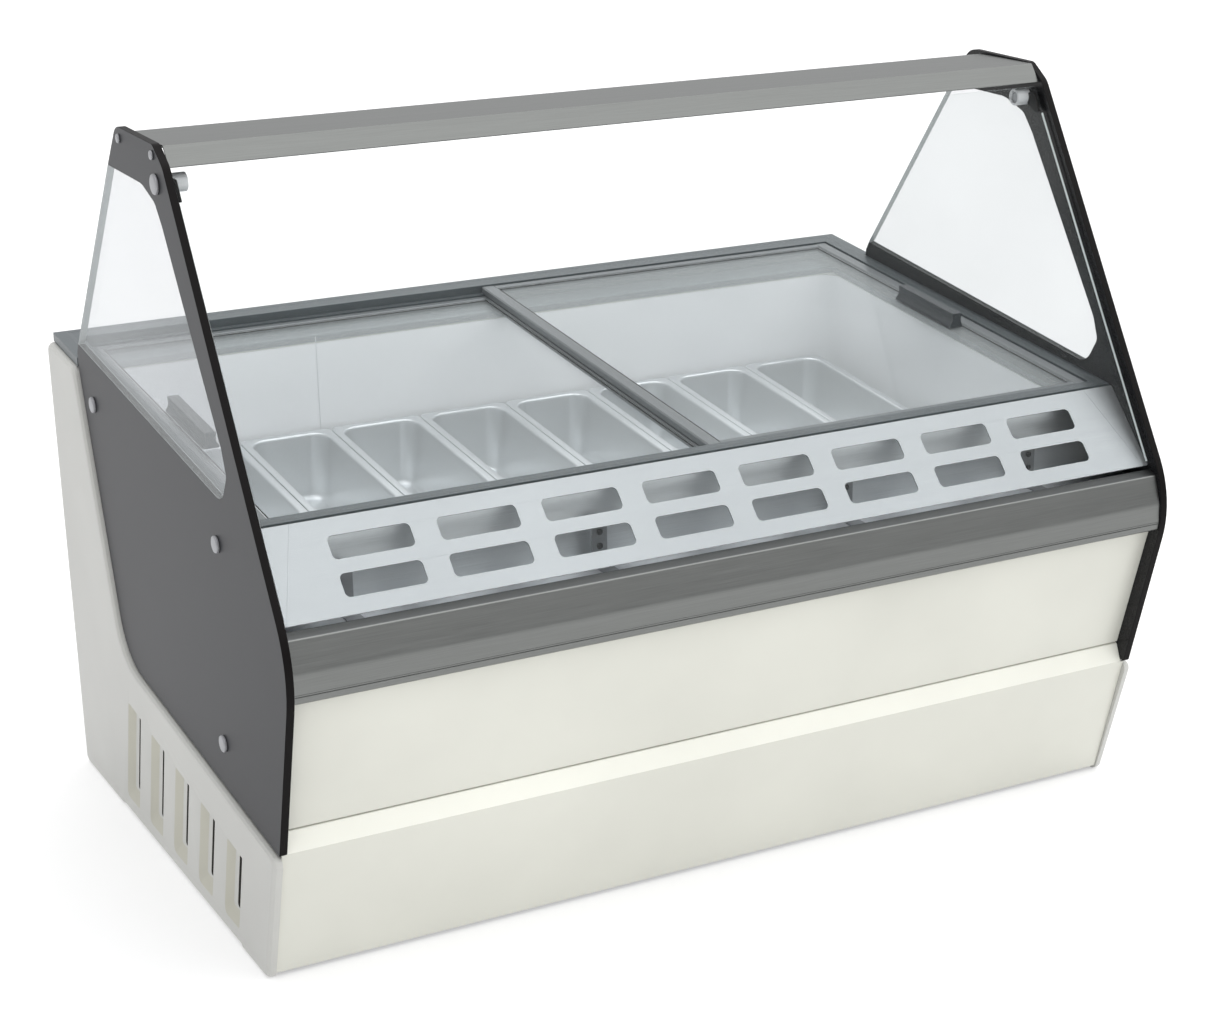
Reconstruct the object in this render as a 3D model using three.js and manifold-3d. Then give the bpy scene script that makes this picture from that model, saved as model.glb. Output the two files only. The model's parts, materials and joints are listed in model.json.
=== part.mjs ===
// Ice cream dipping cabinet: glazed display over a chilled tub with two rows of pans.
// Units are millimetres, +Z is up, +X runs along the length, and customers stand on the -Y side.
// The origin is on the floor under the middle of the cabinet.
import * as THREE from 'three';
import { mergeVertices } from 'three/addons/utils/BufferGeometryUtils.js';
import Module from 'manifold-3d';

const wasm = await Module();
wasm.setup();

// ---- driving dimensions ----
const LENGTH = 1540;            // outside of one end panel to outside of the other
const FLOOR_DEPTH = 907;        // front foot line to the back of the end panels
const OVERHANG = 162.5;         // how far the end glass bulges in front of the foot line
const HEIGHT = 1198;            // top edge of the end glass
const LEAN = 0.293;             // rise-to-run lean of the lower front and of the rear column
const RAKE = 0.6235;            // rake of the front glass
const TILT = Math.atan(0.0887); // slope of the deck, the lids and the pans, down to the front
const GAP = 0.4;                // clearance between pieces that touch

const HALF = LENGTH / 2;
const PANEL_IN = HALF - 14;     // inner face of an end panel
const GLASS_OUT = 761.5;        // outer face of an end glass
const GLASS_IN = 749.5;         // inner face of an end glass
const SHELL = 745;              // half length of the insulated tub
const LINER = 702;              // half length of the space inside the tub
const DECK_Z = 702.8;           // height of the deck plane over the foot line
const DECK_THICK = 40;
const SHEET = 2.5;              // thickness of folded sheet metal

// Outside faces and underside of the tub, then the space inside it.
const TUB = { front: -9, rear: 886, low: 310, linerFront: 38, linerRear: 788, floor: 372 };

const PAN_PITCH = 165;
const PAN_LENGTH = 360;
const PAN_DEPTH = 120;
const PAN_COUNT = 8;
const PAN_RIM_DROP = 188;       // pan rims below the deck plane
const PAN_ROWS = { front: 39, rear: 401 };

const PIVOT = [248, 1141];      // front glass hinge, as [y, z]
const BUTTONS = { front_low: [129, 326], front_high: [94, 650], rear: [677, 710] };

// ---- materials ----
const finish = (color, roughness, metalness, extra = {}) =>
  new THREE.MeshStandardMaterial({ color, roughness, metalness, ...extra });
const cream = finish(0xdedfd6, 0.5, 0);
const steel = finish(0xb9bdbf, 0.32, 1);
const darkSteel = finish(0x7d8280, 0.35, 1);
const deckGrey = finish(0x5f686c, 0.5, 0.1);
const white = finish(0xd2d6da, 0.45, 0);
const foam = finish(0xc9c9c2, 0.8, 0);
const clear = finish(0xdfe8ea, 0.05, 0, { transparent: true, opacity: 0.3 });
const smoked = finish(0x55575b, 0.1, 0, { transparent: true, opacity: 0.8 });
const black = finish(0x1c1c1d, 0.5, 0);
const galvanised = finish(0x9aa0a2, 0.5, 0.8);

// ---- solids ----
function toSolid(geometry) {
  const bare = geometry.clone();
  bare.deleteAttribute('normal');
  bare.deleteAttribute('uv');
  const merged = mergeVertices(bare, 1e-4);
  const corners = merged.index.array;
  const triangles = [];
  for (let i = 0; i < corners.length; i += 3) {
    const [a, b, c] = corners.slice(i, i + 3);
    if (a !== b && b !== c && c !== a) triangles.push(a, b, c);
  }
  return new wasm.Manifold(new wasm.Mesh({
    numProp: 3,
    vertProperties: new Float32Array(merged.attributes.position.array),
    triVerts: new Uint32Array(triangles),
  }));
}

function toGeometry(solid) {
  const mesh = solid.getMesh();
  const geometry = new THREE.BufferGeometry();
  geometry.setAttribute('position', new THREE.BufferAttribute(mesh.vertProperties, 3));
  geometry.setIndex(new THREE.BufferAttribute(mesh.triVerts, 1));
  return geometry;
}

function join(...geometries) {
  return toGeometry(geometries.map(toSolid).reduce((sum, next) => sum.add(next)));
}

function cut(body, ...tools) {
  return toGeometry(tools.map(toSolid).reduce((rest, tool) => rest.subtract(tool), toSolid(body)));
}

function box([x0, x1], [y0, y1], [z0, z1]) {
  const geometry = new THREE.BoxGeometry(x1 - x0, y1 - y0, z1 - z0);
  return geometry.translate((x0 + x1) / 2, (y0 + y1) / 2, (z0 + z1) / 2);
}

// A shape drawn as (y, z) and run along X, or one drawn as (x, y) and run along Z.
const ALONG_X = new THREE.Matrix4().makeBasis(
  new THREE.Vector3(0, 1, 0), new THREE.Vector3(0, 0, 1), new THREE.Vector3(1, 0, 0));

function prismX(shape, x0, x1, segments = 6) {
  const options = { depth: x1 - x0, bevelEnabled: false, curveSegments: segments };
  return new THREE.ExtrudeGeometry(shape, options).translate(0, 0, x0).applyMatrix4(ALONG_X);
}

function prismZ(shape, z0, z1, segments = 3) {
  const options = { depth: z1 - z0, bevelEnabled: false, curveSegments: segments };
  return new THREE.ExtrudeGeometry(shape, options).translate(0, 0, z0);
}

// A rod along X with a stepped radius: each step is [x, radius].
function turnedX(steps, y, z, segments = 20) {
  const points = [new THREE.Vector2(0, steps[0][0])];
  for (const [x, radius] of steps) points.push(new THREE.Vector2(radius, x));
  points.push(new THREE.Vector2(0, steps.at(-1)[0]));
  return new THREE.LatheGeometry(points, segments).rotateZ(-Math.PI / 2).translate(0, y, z);
}

function turnedZ(steps, x, y, segments = 20) {
  const points = [new THREE.Vector2(0, steps[0][0])];
  for (const [z, radius] of steps) points.push(new THREE.Vector2(radius, z));
  points.push(new THREE.Vector2(0, steps.at(-1)[0]));
  return new THREE.LatheGeometry(points, segments).rotateX(Math.PI / 2).translate(x, y, 0);
}

// ---- outlines ----
const vectors = (points) => points.map(([a, b]) => new THREE.Vector2(a, b));

// A polygon whose corners are rounded: each point is [a, b] or [a, b, tangentLength].
function rounded(points) {
  const shape = new THREE.Shape();
  points.forEach(([a, b, tangent = 0], i) => {
    const corner = new THREE.Vector2(a, b);
    const before = new THREE.Vector2(...points.at(i - 1).slice(0, 2));
    const after = new THREE.Vector2(...points[(i + 1) % points.length].slice(0, 2));
    const toward = (target) => target.clone().sub(corner).setLength(tangent).add(corner);
    const start = tangent ? toward(before) : corner;
    const end = tangent ? toward(after) : corner;
    if (i === 0) shape.moveTo(start.x, start.y);
    else shape.lineTo(start.x, start.y);
    if (tangent) shape.quadraticCurveTo(corner.x, corner.y, end.x, end.y);
  });
  return shape;
}

function rectangle(x0, x1, y0, y1, radius = 0) {
  return rounded([[x0, y0, radius], [x1, y0, radius], [x1, y1, radius], [x0, y1, radius]]);
}

// A folded sheet: the outer face follows the points, and the thickness lies to their right.
function folded(points, thickness = SHEET) {
  const line = vectors(points);
  const normal = (a, b) => new THREE.Vector2(b.y - a.y, a.x - b.x).normalize();
  const inner = line.map((point, i) => {
    const first = normal(line[Math.max(i - 1, 0)], line[Math.max(i, 1)]);
    const second = normal(line[Math.min(i, line.length - 2)], line[Math.min(i + 1, line.length - 1)]);
    const miter = first.clone().add(second).normalize();
    return miter.multiplyScalar(thickness / miter.dot(first)).add(point);
  });
  return new THREE.Shape([...line, ...inner.reverse()]);
}

// Skin between closed loops of equal point count, capped at both ends.
function loft(loops) {
  const count = loops[0].length;
  const positions = loops.flat().flatMap((point) => point);
  const index = [];
  for (let k = 0; k + 1 < loops.length; k += 1) {
    for (let i = 0; i < count; i += 1) {
      const a = k * count + i;
      const b = k * count + (i + 1) % count;
      index.push(a, b, b + count, a, b + count, a + count);
    }
  }
  const last = (loops.length - 1) * count;
  for (let i = 1; i + 1 < count; i += 1) {
    index.push(0, i + 1, i);
    index.push(last, last + i, last + i + 1);
  }
  const geometry = new THREE.BufferGeometry();
  geometry.setAttribute('position', new THREE.Float32BufferAttribute(positions, 3));
  geometry.setIndex(index);
  return geometry;
}

// ---- scene graph ----
const product = new THREE.Group();
const cabinet = new THREE.Group();  // y = 0 is the foot line of the front
const deck = new THREE.Group();     // x along the cabinet, y down the slope, z square to the deck
cabinet.position.y = -(FLOOR_DEPTH - OVERHANG) / 2;
deck.position.z = DECK_Z;
deck.rotation.x = TILT;
cabinet.add(deck);
product.add(cabinet);

function add(parent, name, geometry, material) {
  const mesh = new THREE.Mesh(geometry, material);
  mesh.name = name;
  parent.add(mesh);
}

const deckPlane = (y) => DECK_Z + y * Math.tan(TILT);
const onSlope = (along, above) => [
  along * Math.cos(TILT) - above * Math.sin(TILT),
  DECK_Z + along * Math.sin(TILT) + above * Math.cos(TILT),
];
const leanLine = (z) => -18 - LEAN * z;
const mirrorX = (geometry) => {
  const solid = toSolid(geometry);
  return toGeometry(solid.mirror([1, 0, 0]));
};

// Builds a piece for the right end and its mirror image for the left end.
function addPair(parent, name, geometry, material) {
  add(parent, `${name}_right`, geometry, material);
  add(parent, `${name}_left`, mirrorX(geometry), material);
}

// ---- base: welded frame with a machine tray, on four levelling feet ----
const TRAY = 62;                // top of the machine tray

function addBase() {
  const tube = 40;
  const [left, right] = [-735, 735];
  const [front, rear] = [10, 880];
  const [low, high] = [TRAY - tube, TRAY];
  const under = TUB.low - GAP;
  const foot = { x: 690, ys: { front: 60, rear: 830 } };
  const parts = [
    box([left, right], [front, front + tube], [low, high]),
    box([left, right], [rear - tube, rear], [low, high]),
    box([left, right], [front + 1, rear - 1], [high - 4, high]),
  ];
  for (const x of [left, -tube / 2, right - tube]) {
    parts.push(box([x, x + tube], [front, rear], [low, high]));
    for (const y of [front, rear - tube]) {
      parts.push(box([x, x + tube], [y, y + tube], [low, under]));
    }
  }
  add(cabinet, 'base_frame', join(...parts), galvanised);
  for (const [end, x] of [['left', -foot.x], ['right', foot.x]]) {
    for (const [side, y] of Object.entries(foot.ys)) {
      const profile = [[0, 24], [6, 26], [12, 16], [12, 7], [low - GAP, 7]];
      add(cabinet, `foot_${side}_${end}`, turnedZ(profile, x, y, 16), black);
    }
  }
}

// ---- front: kick panel with ledge, upper panel, bumper, slotted air panel and duct ----
const KICK_TOP = [-79, 229];
const LEDGE_TOP = [-66, 259];
const FRONT_HALF = GLASS_IN - GAP;

function addFront() {
  const kick = folded([[-12 - LEAN * 8, 8], KICK_TOP, LEDGE_TOP, [LEDGE_TOP[0] + 5, 259], [-72, 296]]);
  const kickHalf = PANEL_IN - GAP;
  const besideGlass = [FRONT_HALF, kickHalf + 1];
  add(cabinet, 'kick_panel', cut(
    prismX(kick, -kickHalf, kickHalf),
    box(besideGlass, [-200, 0], [KICK_TOP[1] - 1, 300]),
    box(besideGlass.map((x) => -x).reverse(), [-200, 0], [KICK_TOP[1] - 1, 300]),
  ), cream);
  const upper = folded([[-66.6, 260.5], [-136, 490], [-136, 552]]);
  add(cabinet, 'front_panel', prismX(upper, -FRONT_HALF, FRONT_HALF), cream);
  const bumper = folded([
    [-139, 486], [-156, 488], [-159, 501], [-158.5, 535], [-142, 580.5], [-126, 586],
  ]);
  add(cabinet, 'bumper_rail', prismX(bumper, -FRONT_HALF, FRONT_HALF), darkSteel);
  const duct = folded([[-117, 580], [-117, 562], [-14, 562], [-14, 688]], -1.5);
  add(cabinet, 'air_duct', prismX(duct, -SHELL + 1, SHELL - 1), steel);
  add(cabinet, 'air_panel', airPanel(), steel);
}

// Sixteen slots in two rows of eight, in line with the pans.
function airPanel() {
  const bottom = new THREE.Vector2(-122, 590.5);
  const top = new THREE.Vector2(-15, 701);
  const slope = top.distanceTo(bottom);
  const slot = { width: 125, height: 37.5, corner: 9, pitch: 166.3 };
  const shape = rectangle(-FRONT_HALF, FRONT_HALF, 0, slope);
  for (let column = 0; column < PAN_COUNT; column += 1) {
    for (const low of [slope - 126.5, slope - 66.5]) {
      const x = (column - (PAN_COUNT - 1) / 2) * slot.pitch;
      const sides = [x - slot.width / 2, x + slot.width / 2];
      shape.holes.push(rectangle(...sides, low, low + slot.height, slot.corner));
    }
  }
  const angle = Math.atan2(top.y - bottom.y, top.x - bottom.x);
  return prismZ(shape, -2, 0, 2).rotateX(angle).translate(0, bottom.x, bottom.y);
}

// ---- end panels: L-shaped mouldings with five louvres ----
const SHOULDER_RISE = 0.0948;   // slope of the edge that the end glass stands over

// The outline lies inside the finished edge by the size of the bevel that is added to it.
function endPanelOutline(bevel) {
  const rear = FLOOR_DEPTH - bevel;
  const top = (y) => deckPlane(y) - 16 - bevel;
  return rounded([
    [leanLine(0) + bevel, bevel, 6], [92, bevel], [97, bevel + 4], [692, bevel + 4], [697, bevel],
    [rear, bevel, 8], [rear, top(rear), 14], [756 + bevel, top(756), 6],
    [617 + bevel, 292 - bevel, 75], [leanLine(225) + bevel, 225 - bevel, 6],
  ]);
}

function addEndPanels() {
  const bevel = 9;
  const options = {
    depth: HALF - PANEL_IN - bevel, bevelEnabled: true, bevelThickness: bevel, bevelSize: bevel,
    bevelSegments: 3, curveSegments: 4,
  };
  const plate = new THREE.ExtrudeGeometry(endPanelOutline(bevel), options).applyMatrix4(ALONG_X);
  const moulding = cut(plate.translate(PANEL_IN, 0, 0), box([700, PANEL_IN], [-200, 1000], [-1, 900]));
  const louvres = [];
  const louvre = { count: 5, pitch: 122.5, first: 100, foot: 33, width: 66, deep: 8 };
  for (let i = 0; i < louvre.count; i += 1) {
    louvres.push(...louvreCut(louvre.first + i * louvre.pitch, louvre));
  }
  addPair(cabinet, 'end_panel', cut(moulding, ...louvres), cream);
}

// A ring at one depth in the panel, leaning with the front edge.
function louvreRing(x, [y0, y1], [z0, z1], corner) {
  const rise = (y1 - y0) * SHOULDER_RISE;
  const outline = rounded([[y0, z0, 4], [y1, z0, corner], [y1, z1 + rise, 3], [y0, z1, 3]]);
  return outline.getPoints(3).map((point) => [x, point.x - LEAN * point.y, point.y]);
}

// A pocket with a sloping rear wall and foot, and a slit through its floor near the front edge.
function louvreCut(front, { foot, width, deep }) {
  const first = front + LEAN * foot;
  const top = foot + 126 + front * SHOULDER_RISE;
  const slope = { rear: 18, foot: 22, top: 2 };
  const mouth = [[first, first + width], [foot, top], 16];
  const floor = [[first + 1, first + width - slope.rear], [foot + slope.foot, top - slope.top], 8];
  const slit = [[first + 4, first + 31], [foot + 27, top - 5], 8];
  const pocket = loft([
    louvreRing(HALF - deep, ...floor), louvreRing(HALF, ...mouth), louvreRing(HALF + 1, ...mouth),
  ]);
  const opening = loft([louvreRing(PANEL_IN - 1, ...slit), louvreRing(HALF, ...slit)]);
  return [pocket, opening];
}

// ---- end glass: one bent-edge outline, with holes for its fixings ----
function addEndGlass() {
  const outline = rounded([
    [leanLine(229), 229], [-177, 543, 78], [214, 1171, 24], [252, HEIGHT, 16], [428, HEIGHT, 26],
    [749, 779], [749, deckPlane(749) - 14], [615, 295, 74],
  ]);
  for (const [y, z] of [...Object.values(BUTTONS), PIVOT]) {
    const hole = new THREE.Path();
    hole.absarc(y, z, 5.6, 0, 2 * Math.PI);
    outline.holes.push(hole);
  }
  addPair(cabinet, 'end_glass', prismX(outline, GLASS_IN, GLASS_OUT, 5), smoked);
  for (const [place, [y, z]] of Object.entries(BUTTONS)) {
    const steps = [
      [SHELL + GAP, 9], [GLASS_IN - GAP, 9], [GLASS_IN - GAP, 5], [GLASS_OUT + GAP, 5],
      [GLASS_OUT + GAP, 13], [GLASS_OUT + 4, 13], [GLASS_OUT + 5.5, 11],
    ];
    addPair(cabinet, `glass_button_${place}`, turnedX(steps, y, z, 16), steel);
  }
}

// ---- top bar and the front glass, which hinges up on two pivot pins ----
function addFrontGlass() {
  const bar = folded([[220, 1167.5], [243, 1196.5], [395, 1193.5], [395, 1163]], SHEET);
  add(cabinet, 'top_bar', prismX(bar, -FRONT_HALF, FRONT_HALF), darkSteel);

  const half = GLASS_IN - 5;
  const glassAt = (z) => [228 - (1161 - z) * RAKE, z];
  const normal = new THREE.Vector2(1, -RAKE).normalize().multiplyScalar(3);
  const offset = ([y, z], side) => [y + side * normal.x, z + side * normal.y];
  const [low, high] = [glassAt(592), glassAt(1160)];
  const corners = [offset(low, 1), offset(high, 1), offset(high, -1), offset(low, -1)];
  const pane = new THREE.Shape(vectors(corners));
  add(cabinet, 'front_glass', prismX(pane, -half, half), clear);

  // Each arm is a thin plate bonded to the glass, with a wide boss round the pin.
  const arm = { in: half - 22, out: half, plate: 6, ring: 14 };
  const padLow = offset(glassAt(1112), 1.14);
  const padHigh = offset(glassAt(1158), 1.14);
  const heel = [padLow[0] + 8, padLow[1] + 2];
  const pad = new THREE.Shape(vectors([padLow, heel, [252, 1128], [252, 1150], padHigh]));
  const ring = turnedX([[arm.in, arm.ring], [arm.out, arm.ring]], ...PIVOT);
  const bore = turnedX([[arm.in - 1, 5.6], [arm.out + 1, 5.6]], ...PIVOT);
  const body = cut(join(prismX(pad, arm.out - arm.plate, arm.out), ring), bore);
  addPair(cabinet, 'hinge_arm', body, steel);
  const pin = [
    [arm.in - 4, 8], [arm.in - GAP, 8], [arm.in - GAP, 5], [GLASS_OUT + GAP, 5],
    [GLASS_OUT + GAP, 15], [GLASS_OUT + 4, 15], [GLASS_OUT + 5.5, 13],
  ];
  addPair(cabinet, 'pivot_pin', turnedX(pin, ...PIVOT), steel);
}

// ---- tub: foamed body, liner, and the rack that the pans stand on ----
// Everything above the underside of the deck.
function aboveDeck() {
  const block = box([-900, 900], [-300, 1300], [-DECK_THICK - GAP, 400]);
  return block.rotateX(TILT).translate(0, 0, DECK_Z);
}

function well(grow, low) {
  const radius = 34 + grow;
  const plan = rectangle(-LINER - grow, LINER + grow, TUB.linerFront - grow, TUB.linerRear + grow, radius);
  return prismZ(plan, low, 900, 3);
}

function addTub() {
  const wall = 2;
  const body = box([-SHELL, SHELL], [TUB.front, TUB.rear], [TUB.low, 900]);
  const socket = well(wall + GAP, TUB.floor - wall - GAP);
  add(cabinet, 'insulated_tub', cut(body, socket, aboveDeck()), foam);
  const liner = cut(well(wall, TUB.floor - wall), well(0, TUB.floor), aboveDeck());
  add(cabinet, 'tub_liner', liner, white);
  add(cabinet, 'pan_rack', panRack(), steel);
}

function panRack() {
  const bar = 10;
  const drop = PAN_RIM_DROP + PAN_DEPTH + GAP;
  const onDeck = (geometry) => geometry.rotateX(TILT).translate(0, 0, DECK_Z);
  const parts = [];
  for (const start of Object.values(PAN_ROWS)) {
    for (const y of [start + 50, start + PAN_LENGTH - 60]) {
      parts.push(onDeck(box([-655, 655], [y, y + bar], [-drop - bar, -drop])));
    }
  }
  for (const x of [-645, -5, 635]) {
    const [front, rear] = [PAN_ROWS.front + 45, PAN_ROWS.rear + PAN_LENGTH - 45];
    parts.push(onDeck(box([x, x + bar], [front, rear], [-drop - 1.8 * bar, -drop - bar / 2])));
    for (const along of [front + 15, rear - 25]) {
      const [y, top] = onSlope(along, -drop - bar);
      parts.push(box([x, x + bar], [y, y + bar], [TUB.floor + GAP, top]));
    }
  }
  return join(...parts);
}

// ---- pans: tapered tubs with a flat rim, in two rows of eight ----
function panLoop(width, length, radius, z) {
  const loop = [];
  const steps = 2;
  const corners = [[1, 1], [-1, 1], [-1, -1], [1, -1]];
  corners.forEach(([sx, sy], quadrant) => {
    for (let i = 0; i <= steps; i += 1) {
      const angle = (quadrant + i / steps) * Math.PI / 2;
      const x = sx * (width / 2 - radius) + radius * Math.cos(angle);
      const y = sy * (length / 2 - radius) + radius * Math.sin(angle);
      loop.push([x, y, z]);
    }
  });
  return loop;
}

function addPans() {
  const width = PAN_PITCH - 1.5;
  const length = PAN_LENGTH - 1;
  const wall = 2;
  const body = { top: [139, 335], foot: [126, 322], radius: 30 };
  const loops = [
    panLoop(...body.foot, body.radius - 6, -PAN_DEPTH),
    panLoop(...body.top, body.radius, -wall),
    panLoop(width, length, 16, -wall),
    panLoop(width, length, 16, 0),
    panLoop(body.top[0] - 2 * wall, body.top[1] - 2 * wall, body.radius - wall, 0),
    panLoop(body.foot[0] - 2 * wall, body.foot[1] - 2 * wall, body.radius - 6 - wall, wall - PAN_DEPTH),
  ];
  const pan = loft(loops);
  for (const [row, start] of Object.entries(PAN_ROWS)) {
    for (let i = 0; i < PAN_COUNT; i += 1) {
      const x = (i - (PAN_COUNT - 1) / 2) * PAN_PITCH;
      const geometry = pan.clone().translate(x, start + PAN_LENGTH / 2, -PAN_RIM_DROP);
      add(deck, `pan_${row}_${i + 1}`, geometry, steel);
    }
  }
}

// ---- deck: rim with two levels of lid rails, over the tub and level with the end glass ----
const OPEN = { half: 723, front: 14, rear: 854, step: 9, upper: -14.4, lower: -28.6 };

function addDeck() {
  const narrow = GLASS_IN - GAP;
  const wide = GLASS_OUT - 0.5;
  const [front, shoulder, rear] = [-9, 757, 893];
  const flange = 14.5;
  const plate = join(
    box([-narrow, narrow], [front, rear], [-DECK_THICK, 0]),
    box([-wide, wide], [shoulder, rear], [-flange, 0]),
  );
  const { half, step, upper, lower } = OPEN;
  const rim = cut(
    plate,
    box([-half, half], [OPEN.front, OPEN.rear], [upper, 1]),
    box([-half, half], [OPEN.front + step, OPEN.rear - step], [lower, upper + 0.5]),
    box([-LINER, LINER], [40, 790], [-DECK_THICK - 1, lower + 0.5]),
  );
  add(deck, 'deck_frame', rim, deckGrey);
}

// ---- lids: two framed panes that slide past each other on the deck rails ----
function addLid(side, [x0, x1], inset, top, handleX) {
  const thick = 12;
  const [y0, y1] = [OPEN.front + inset, OPEN.rear - inset];
  const [end, runner] = [24, 14];
  const frame = rectangle(x0, x1, y0, y1);
  frame.holes.push(rectangle(x0 + end, x1 - end, y0 + runner, y1 - runner));
  add(deck, `lid_frame_${side}`, prismZ(frame, top - thick, top), deckGrey);
  const pane = box(
    [x0 + end + GAP, x1 - end - GAP], [y0 + runner + GAP, y1 - runner - GAP], [top - 8, top - 4]);
  add(deck, `lid_glass_${side}`, pane, clear);
  const grip = rounded([
    [0, 0, 1], [26, 0, 1], [26, 4, 2], [20, 12, 6], [22, 26, 2], [3, 26, 2], [5, 12, 6], [0, 4, 2],
  ]);
  const lay = new THREE.Matrix4().makeBasis(
    new THREE.Vector3(-Math.sign(handleX), 0, 0), new THREE.Vector3(0, 0, 1),
    new THREE.Vector3(0, Math.sign(handleX), 0));
  const handle = prismZ(grip, -87, 87).applyMatrix4(lay).translate(handleX, 430, top - 4 + GAP);
  add(deck, `lid_handle_${side}`, handle, black);
}

// ---- back: upper cover with the controls, and a louvred lower cover ----
const CONTROL = { x: 560, z: 640, halfWidth: 40, halfHeight: 20 };
const SWITCH = { x: 630, y: 896, width: 19, tilt: THREE.MathUtils.degToRad(8) };

function addBack() {
  const half = PANEL_IN - GAP;
  const [front, rear] = [894, 904];
  const split = 300;
  const window = (x, z, halfWidth, halfHeight) =>
    box([x - halfWidth, x + halfWidth], [front - 1, rear + 1], [z - halfHeight, z + halfHeight]);
  const cover = cut(
    box([-half, half], [front, rear], [split, deckPlane(rear) - 46]),
    window(CONTROL.x, CONTROL.z, CONTROL.halfWidth, CONTROL.halfHeight),
    window(SWITCH.x, CONTROL.z, SWITCH.width / 2 + 1.5, 15),
  );
  add(cabinet, 'rear_cover', cover, cream);

  const slot = { width: 210, height: 9, rows: 8, columns: 5, rise: 24, pitch: 250, foot: 70 };
  const slots = [];
  for (let row = 0; row < slot.rows; row += 1) {
    for (let column = 0; column < slot.columns; column += 1) {
      const x = (column - (slot.columns - 1) / 2) * slot.pitch;
      const z = slot.foot + row * slot.rise;
      slots.push(window(x, z + slot.height / 2, slot.width / 2, slot.height / 2));
    }
  }
  const grille = cut(box([-half, half], [rear - 3, rear], [24, split - 2]), ...slots);
  add(cabinet, 'rear_grille', grille, darkSteel);

  const [halfWidth, halfHeight] = [CONTROL.halfWidth - 0.5, CONTROL.halfHeight - 0.5];
  const body = box([-halfWidth, halfWidth], [TUB.rear + 2, rear + 1], [-halfHeight, halfHeight]);
  add(cabinet, 'controller', body.translate(CONTROL.x, 0, CONTROL.z), black);
  const rocker = new THREE.Shape(vectors([[-4, -12], [8.5, -13], [6.5, 0], [8.5, 13], [-4, 12]]));
  const paddle = prismX(rocker, -SWITCH.width / 2, SWITCH.width / 2).rotateX(SWITCH.tilt);
  add(cabinet, 'main_switch', paddle.translate(SWITCH.x, SWITCH.y, CONTROL.z), black);
}

// ---- refrigeration: compressor, condenser, and a fan in its shroud ----
function addMachine() {
  const floor = TRAY + GAP;
  const pot = [
    [floor, 60], [floor + 8, 60], [floor + 8, 82], [floor + 40, 92], [floor + 110, 92],
    [floor + 150, 78], [floor + 170, 46], [floor + 176, 14],
  ];
  add(cabinet, 'compressor', turnedZ(pot, 180, 440, 24), black);

  const core = { x: [-640, -590], y: [260, 600], z: [floor, floor + 226] };
  const fins = [];
  for (let z = core.z[0] + 16; z < core.z[1] - 8; z += 20) {
    fins.push(box([core.x[0] - 1, core.x[0] + 8], [core.y[0] + 12, core.y[1] - 12], [z, z + 6]));
  }
  add(cabinet, 'condenser', cut(box(core.x, core.y, core.z), ...fins), galvanised);

  const [y, z] = [430, floor + 113];
  const mouth = 100;
  const x0 = core.x[1] + GAP;
  const shroud = cut(
    box([x0, x0 + 44], core.y, core.z),
    box([x0 - 1, x0 + 4], [core.y[0] + 10, core.y[1] - 10], [core.z[0] + 8, core.z[1] - 8]),
    turnedX([[x0, mouth], [x0 + 50, mouth]], y, z, 28),
  );
  const strut = box([x0 + 38, x0 + 44], [y - mouth - 4, y + mouth + 4], [z - 7, z + 7]);
  const motor = turnedX([[x0 + 34, 30], [x0 + 78, 30]], y, z, 18);
  add(cabinet, 'fan_shroud', join(shroud, strut, motor), black);
  add(cabinet, 'fan_blade', fanBlade(x0 + 6, y, z, mouth - 6), steel);
}

function fanBlade(x, y, z, radius) {
  const hub = turnedX([[x, 22], [x + 26, 22]], 0, 0, 18);
  const blades = [];
  const count = 5;
  const pitch = 0.45;
  for (let i = 0; i < count; i += 1) {
    const blade = box([-1.2, 1.2], [16, radius - 4], [-26, 26]);
    blades.push(blade.rotateY(pitch).translate(x + 13, 0, 0).rotateX(i * 2 * Math.PI / count));
  }
  return join(hub, ...blades).translate(0, y, z);
}

addBase();
addFront();
addEndPanels();
addEndGlass();
addFrontGlass();
addTub();
addPans();
addDeck();
addLid('right', [0.5, 722], 1.5, -2, 693);
addLid('left', [-722, 24], 10.5, -16.2, -693);
addBack();
addMachine();

export default product;
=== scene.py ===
# Ice cream dipping cabinet: the looks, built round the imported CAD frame.
# Outlines are in millimetres in the cabinet's own terms: x along it, v back from the foot line
# of the front, z up from the floor. Everything is turned into metres in the row frame when made.
import json
import math
import bmesh
import bpy
from mathutils import Matrix, Vector
from mathutils.geometry import tessellate_polygon

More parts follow.
